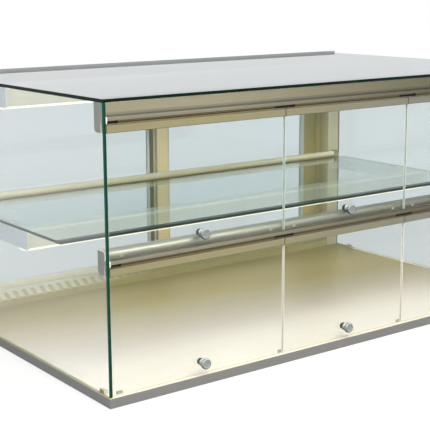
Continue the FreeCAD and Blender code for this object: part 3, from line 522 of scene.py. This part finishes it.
def opalAcrylic(name, strength, look):
    # opal acrylic over warm white chips: an even cream glow, a little brighter below each chip
    material, tree = newMaterial(name)
    coords = addNode(tree, "TexCoord")
    along = addNode(tree, "SeparateXYZ", None, {0: coords.outputs["Object"]})
    turn = addNode(tree, "Math", {"operation": "MULTIPLY", 1: 2 * math.pi * 1000 / look["chipPitchMm"]},
                   {0: along.outputs["X"]})
    wave = addNode(tree, "Math", {"operation": "COSINE"}, {0: turn.outputs[0]})
    power = addNode(tree, "MapRange", {"From Min": -1.0, "To Min": strength * 0.92,
                                       "To Max": strength * 1.08}, {"Value": wave.outputs[0]})
    skin = addNode(tree, "BsdfPrincipled", {"Base Color": linear("F4EFE2"), "Roughness": 0.45,
                                            "Emission Color": linear(look["tone"])},
                   {"Emission Strength": power.outputs[0]})
    addNode(tree, "OutputMaterial", None, {"Surface": skin.outputs[0]})
    return material


# chrome plate: near mirror, with a painted reflection dark below and bright above, and a breath of wiping marks
chrome = metalFinish("chromePlate", ("1C2021", "98A09F", "FAFCFB"), 1.0, 0.09, 3, 6, "Z", 0.004)
# zinc plated screws: dull bluish white
zinc = metalFinish("zincPlate", ("8A8E90", "B9BDBF", "CFD2D3"), 1.0, 0.3, 2, 2, "X", 0.004)
topOpal = opalAcrylic("opalAcrylicTop", lightLook["top"], lightLook)
shelfOpal = opalAcrylic("opalAcrylicShelf", lightLook["shelf"], lightLook)
darkNylon = plasticFinish("mouldedDarkNylon", "3A3A38", "444442", 0.5, 0.6, 0.03)  # matt, almost black
glazingRubber = plasticFinish("glazingRubber", "A6ADA4", "BCC2B8", 0.6, 0.7, 0.03)  # matt, soft grey
sealPile = plasticFinish("wovenSealPile", "4A5145", "646B5C", 0.9, 0.5, 0.2)  # tufted, greenish black
filterFelt = sillFinish("filterFelt", "felt", 0.9, (1.2, 1.2), 0.3, sillLook)
silicone = plasticFinish("clearSilicone", "E6E5D6", "F2F1E4", 0.4, 1.0, 0.02)  # milky and soft


def applyFinishes():
    finish(["base_tray"], deckSheet(deckLook))
    finish(["rear_vent_sill"], sillFinish("lacqueredSheet", "sheet", 0.4, (1.2, 140), 0.02, sillLook))
    # galvanised sheet under the deck: dull, with a blotchy bloom
    finish(["base_underplate", "base_stiffeners"],
           metalFinish("galvanisedSheet", ("8A9094", "969C9F", "A9AEB0"), 0.9, 0.5, 9, 9, "X", 0.02))
    finish(["top_front_rail"], hingeProfile("anodisedTopRail", "topRail", hingeLook))
    finish(["mid_front_rail"], hingeProfile("anodisedMiddleRail", "midRail", hingeLook))
    finish(named("_flap_clamp"), hingeProfile("anodisedClampBar", "clamp", hingeLook))
    finish(["top_light_housing"], lightChannel("anodisedTopChannel", "top_light_housing", channelLook))
    finish(["shelf_light_housing"], lightChannel("anodisedShelfChannel", "shelf_light_housing", channelLook))
    # anodised header and threshold: satin grey
    finish(["rear_header", "rear_bottom_track"],
           metalFinish("anodisedHeader", ("8A8B86", "B4BABB", "CCD0D0"), 0.8, 0.34, 1.5, 220, "X", 0.015))
    finish(["rear_left_post", "rear_right_post"], rearProfile("anodisedPosts", "post", rearLook))
    finish(named("_door_frame"), rearProfile("anodisedDoorFrame", "door", rearLook))
    # satin steel brackets, brushed along their arms; the right one painted paler, as painted light lifting its shade
    finish(named("right_bracket"),
           metalFinish("satinSteelRightBracket", ("E8ECEE", "F8FAFB", "FAFBFC"), 0.5, 0.34, 1.2, 80, "Y", 0.015))
    finish(named("left_bracket"),
           metalFinish("satinSteelBracket", ("C0C7CC", "D4DADE", "E4E8EA"), 0.5, 0.34, 1.2, 80, "Y", 0.015))
    # polished steel tube, with a painted highlight on top and a painted shade below
    finish(["shelf_rear_rail"],
           metalFinish("polishedSteelTube", ("7E7850", "C8BE8E", "E6DFC2"), 0.4, 0.24, 1.0, 200, "X", 0.01))
    finish(named("_flap_knob"), chrome)
    finish(["left_end_glass", "right_end_glass"], floatGlass("end", "X"))
    finish([name for name in named("_flap_glass") if name.startswith("upper")], floatGlass("upperFlap", "Y"))
    finish([name for name in named("_flap_glass") if name.startswith("lower")], floatGlass("lowerFlap", "Y"))
    finish(named("_door_glass"), floatGlass("door", "Y"))
    finish(["top_glass"], floatGlass("top", "Z"))
    finish(["shelf_glass"], floatGlass("shelf", "Z"))
    finish(named("_end_caps"), plasticFinish("mouldedGreyAbs", "B4B6B0", "C2C4BE", 0.45, 0.6, 0.03))
    finish(["end_glass_clips"], plasticFinish("mouldedTanNylon", "A8A28A", "B8B29A", 0.45, 0.6, 0.03))
    finish(["shelf_rail_sockets"], plasticFinish("mouldedTanSocket", "8F896C", "A09A7C", 0.45, 0.6, 0.03))
    finish(["top_light_diffuser"], topOpal)
    finish(["shelf_light_diffuser"], shelfOpal)
    finish(["shelf_pads"], silicone)
    # half clear, dull
    finish(["flap_buffers"], plasticFinish("clearBufferRubber", "8E8D7E", "A4A394", 0.5, 1.0, 0.02))
    finish(named("_door_shoes"), plasticFinish("whiteNylon", "D8D6CE", "E2E0D8", 0.4, 0.8, 0.02))
    finish(named("_led_board"), plasticFinish("whiteSolderMask", "E4E6E2", "F0F1EE", 0.35, 1.5, 0.01))
    finish(["led_driver"], plasticFinish("driverCaseAbs", "C4C6C6", "CFD1D1", 0.45, 0.8, 0.03))
    finish(["cable_grommet"], plasticFinish("blackRubber", "141414", "1E1E1E", 0.6, 0.8, 0.04))


applyFinishes()
print("finishes applied")


# knobs, turned with round shoulders, and the cap nuts behind the glass

knobTurning = {"headRadius": 11.0, "headLength": 8.0, "shoulder": 2.4, "waistRadius": 5.6, "seatRadius": 8.0,
               "seatLength": 2.0, "projection": 17.0, "dish": 0.5, "capRadius": 7.0, "capLength": 6.0,
               "capRound": 3.0, "segments": 64}


def arc(centre, radius, fromDeg, toDeg, count):
    # points on a round, from one angle to the other
    angle = np.radians(np.linspace(fromDeg, toDeg, count))
    return np.stack([centre[0] + radius * np.cos(angle), centre[1] + radius * np.sin(angle)], -1)


def turned(profile, x, z, yGlass, segments):
    # the profile (radius, distance from the glass, forwards positive) carried once round a line along Y
    angle = np.linspace(0, 2 * math.pi, segments, endpoint=False)
    radius, ahead = profile[:, 0, None] * mm, profile[:, 1, None] * mm
    return np.stack([x + radius * np.cos(angle), np.broadcast_to(yGlass - ahead, (len(profile), segments)),
                     z + radius * np.sin(angle)], -1)


def turnKnobs(look):
    shoulder, head, tip = look["shoulder"], look["headRadius"], look["projection"]
    back = tip - look["headLength"]
    # a dished face with a fine ring, round shoulders, a hollow waist and a flared seat
    face = np.stack([np.linspace(0.4, head - shoulder - 0.6, 10), np.full(10, tip - look["dish"])], -1)
    face[:, 1] += look["dish"] * np.linspace(0, 1, 10) ** 4
    front = arc((head - shoulder, tip - shoulder), shoulder, 90, 0, 9)
    rear = arc((head - shoulder, back + shoulder), shoulder, 0, -80, 9)
    waist = np.linspace(0, 1, 14)
    hollow = look["waistRadius"] + (head - shoulder - look["waistRadius"]) * (1 - waist) ** 3 \
        + (look["seatRadius"] - look["waistRadius"]) * waist ** 3
    neck = np.stack([hollow, back + (look["seatLength"] - back) * waist], -1)
    seat = np.array([[look["seatRadius"], look["seatLength"]], [look["seatRadius"], 0.0]])
    knob = np.concatenate([face, front, rear, neck[:-1], seat])
    rounded = look["capRound"]
    cap = np.concatenate([[[look["capRadius"], 0.0]],
                          arc((look["capRadius"] - rounded, rounded - look["capLength"]), rounded, 0, -90, 9)])
    for node in named("_flap_knob"):
        flap = node[:-len("_knob")]
        low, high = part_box(node)
        x, z = (low[0] + high[0]) / 2, (low[2] + high[2]) / 2
        glassLow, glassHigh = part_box(flap + "_glass")
        head = sheetsMesh(flap + "_turned_knob", [turned(knob[::-1], x, z, glassLow[1], look["segments"])], True)
        addPiece(head, flap, chrome)
        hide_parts(node)
        nut = sheetsMesh(flap + "_cap_nut", [turned(cap[::-1], x, z, glassHigh[1], look["segments"])], True)
        addPiece(nut, flap, darkNylon)


turnKnobs(knobTurning)
print("knobs turned")


# opal covers, bowed below the light channels

def swept(loop, rows, place):
    # a closed loop of (across, out) points carried along a path; place turns the row and the points into x, y, z
    return np.stack([place(row, loop[:, 0], loop[:, 1]) for row in rows])


coverLook = {"bow": 1.8, "rim": 0.4, "count": 15, "rows": 25}


def bowCovers(look):
    # flat above; below, a circular sag that starts from a thin rim at both edges
    for tier, opal in (("shelf", shelfOpal), ("top", topOpal)):
        low, high = (np.array(corner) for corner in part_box(tier + "_light_diffuser"))
        share = np.linspace(-1, 1, look["count"])
        y = (low[1] + high[1]) / 2 + share * (high[1] - low[1]) / 2
        sag = low[2] + (look["rim"] - (look["bow"] + look["rim"]) * (1 - share ** 2)) * mm
        loop = np.concatenate([np.stack([y, sag], -1), [[high[1], high[2]], [low[1], high[2]]]])
        rows = np.linspace(low[0], high[0], look["rows"])
        cover = swept(loop, rows, lambda x, a, b: np.stack([np.full_like(a, x), a, b], -1))
        piece = sheetsMesh(tier + "_light_cover", [cover], True)
        addPiece(piece, "case", opal, False)
        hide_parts(tier + "_light_diffuser")


bowCovers(coverLook)
print("covers bowed")


# strips at the doors' glass, the pile seal between the doors and the felt under the vent sill

doorStrips = {"seat": 8.0, "widths": {"left_door": (13.0, 13.0), "right_door": (3.0, 13.0)}, "height": 2.2,
              "lip": 0.5, "count": 8, "pileHeight": 1.6, "pileRipple": 0.25, "pilePitch": 1.6, "stile": 36.0,
              "pile": (-6.0, 4.8)}


def fitDoorStrips(look):
    # wedge section: full height at the stile, easing down along a quarter ellipse to a thin lip on the glass
    ease = np.linspace(0, math.pi / 2, look["count"])
    curve = np.stack([np.sin(ease), look["lip"] + (look["height"] - look["lip"]) * np.cos(ease)], -1)
    section = np.concatenate([[[0.0, 0.0]], curve, [[1.0, 0.0]]])
    seat = look["seat"] * mm
    for door in ("left_door", "right_door"):
        low, high = (np.array(corner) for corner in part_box(door + "_glass"))
        rows = np.array([low[2] + seat, high[2] - seat])
        strips = []
        for edge, inwards, width in zip((low[0] + seat, high[0] - seat), (1, -1), look["widths"][door]):
            wedge = section * (width * mm, mm)
            for face, outwards in ((low[1], -1), (high[1], 1)):
                loop = wedge if inwards == outwards else wedge[::-1]
                strips.append(swept(loop, rows, lambda z, a, b: np.stack(
                    [edge + inwards * a, face + outwards * b, np.full_like(a, z)], -1)))
        addPiece(sheetsMesh(door + "_glazing_strips", strips, True), door, glazingRubber, False)
    # the seal on the outer door's meeting stile: a flat back and rows of tufts, a ripple across the strip
    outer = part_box("left_door_frame")
    start, end = (outer[1][0] + (shift - look["stile"]) * mm for shift in look["pile"])
    across = np.linspace(start, end, 49)
    tuft = look["pileHeight"] - look["pileRipple"] * (1 + np.cos(across / mm * 2 * math.pi / look["pilePitch"]))
    loop = np.concatenate([np.stack([across, tuft * mm], -1), [[end, 0.0], [start, 0.0]]])
    rows = np.array([outer[0][2] + seat, outer[1][2] - seat])
    pile = swept(loop, rows, lambda z, a, b: np.stack([a, outer[0][1] - b, np.full_like(a, z)], -1))
    addPiece(sheetsMesh("left_door_pile_seal", [pile], True), "left_door", sealPile, False)


fitDoorStrips(doorStrips)

sillPad = {"below": 3.0, "thickness": 2.0, "inset": 3.0, "endInset": 6.0, "riser": 17.0, "ripple": 0.3,
           "pitch": 24.0, "rows": 361}


def layPad(look):
    # a sheet under the sill's slope, parallel to it, that swells a little under each slot: a cosine along the sill
    low, high = (np.array(corner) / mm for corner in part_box("rear_vent_sill"))
    rise = (high[2] - low[2] - look["riser"]) / (high[1] - low[1])
    y = np.linspace(low[1] + look["inset"], high[1] - look["inset"], 9)
    z = low[2] + look["riser"] + (y - low[1]) * rise - look["below"]
    x = np.linspace(low[0] + look["endInset"], high[0] - look["endInset"], look["rows"])[:, None]
    swell = look["ripple"] * np.cos(x * 2 * math.pi / look["pitch"])
    upper = np.stack(np.broadcast_arrays(x, y, z + swell), -1)
    lower = np.stack(np.broadcast_arrays(x, y[::-1], z[::-1] - look["thickness"]), -1)
    loops = np.concatenate([upper, lower], 1) * mm
    addPiece(sheetsMesh("sill_filter_pad", [loops], True), "case", filterFelt)


layPad(sillPad)
print("strips and pad fitted")


# silicone fillets at the feet of the end panes, and pan-head screws

filletLook = {"size": 2.6, "wander": 0.25, "wanderMm": 90.0, "clear": 2.0, "clip": 16.0, "rows": 60, "count": 7}


def runFillets(look):
    # a hollow quarter round in the corner of deck and glass, a little wider and narrower along its run
    front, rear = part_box("end_glass_clips")[0][1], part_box("end_glass_clips")[1][1]
    inset = (look["clip"] + look["clear"]) * mm
    y = np.linspace(front + inset, rear - inset, look["rows"])
    size = look["size"] + look["wander"] * np.sin(y / mm * 2 * math.pi / look["wanderMm"])
    turn = np.linspace(0, math.pi / 2, look["count"])
    unit = np.concatenate([[[0.0, 0.0]], np.stack([1 - np.sin(turn), 1 - np.cos(turn)], -1)])
    loops = size[:, None, None] * mm * unit
    runs = []
    for pane, side in (("left_end_glass", -1), ("right_end_glass", 1)):
        low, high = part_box(pane)
        face = high[0] if side < 0 else low[0]
        run = np.stack(np.broadcast_arrays(face - side * loops[..., 0], y[:, None], low[2] + loops[..., 1]), -1)
        runs.append(run if side < 0 else run[:, ::-1])
    addPiece(sheetsMesh("end_glass_fillets", runs, True), "case", silicone)


runFillets(filletLook)

screwLook = {"radius": 4.0, "height": 2.3, "rim": 0.9, "recessDepth": 1.3, "recessWidth": 1.3, "recessReach": 2.3,
             "rows": 14, "segments": 48, "footInset": 13.0, "plate": 3.0, "heights": (0.25, 0.75),
             "postHeights": (30.0, 275.0, 522.0), "postInset": 22.0}


def driveScrews(look):
    # a low dome on a rim; the drive is sunk where either axis lies within the cross, with sloping sides
    radius = np.concatenate([[look["radius"]] * 2, np.linspace(look["radius"] - 0.25, 0.15, look["rows"])])[:, None]
    angle = np.linspace(0, 2 * math.pi, look["segments"], endpoint=False)
    a, b = radius * np.cos(angle), radius * np.sin(angle)
    dome = look["rim"] + (look["height"] - look["rim"]) * (1 - (radius / look["radius"]) ** 2)
    near, far = np.minimum(abs(a), abs(b)), np.maximum(abs(a), abs(b))
    inside = np.clip((look["recessWidth"] / 2 - near) / 0.3, 0, 1)
    inside = inside * np.clip((look["recessReach"] - far) / 0.5, 0, 1)
    out = dome - look["recessDepth"] * inside
    out[0] = 0.0
    heads = {"bracket_screws": [], "post_screws": []}
    for bracket in named("_bracket"):
        low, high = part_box(bracket)
        side = 1 if low[0] > 0 else -1
        x = (high[0] if side > 0 else low[0]) - side * look["footInset"] * mm
        for share in look["heights"]:
            z = low[2] + share * (high[2] - low[2])
            y = high[1] - (look["plate"] + out) * mm
            heads["bracket_screws"].append(np.stack([x + a * mm, y, z + b * mm], -1))
    for post in ("rear_left_post", "rear_right_post"):
        low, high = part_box(post)
        x = (low[0] + look["postInset"] * mm) if low[0] < 0 else (high[0] - look["postInset"] * mm)
        for rise in look["postHeights"]:
            z = low[2] + rise * mm
            heads["post_screws"].append(np.stack([x - a * mm, high[1] + out * mm, z + b * mm], -1))
    for name, grids in heads.items():
        addPiece(sheetsMesh(name, grids, True), "case", zinc)


driveScrews(screwLook)
print("fillets and screws added")
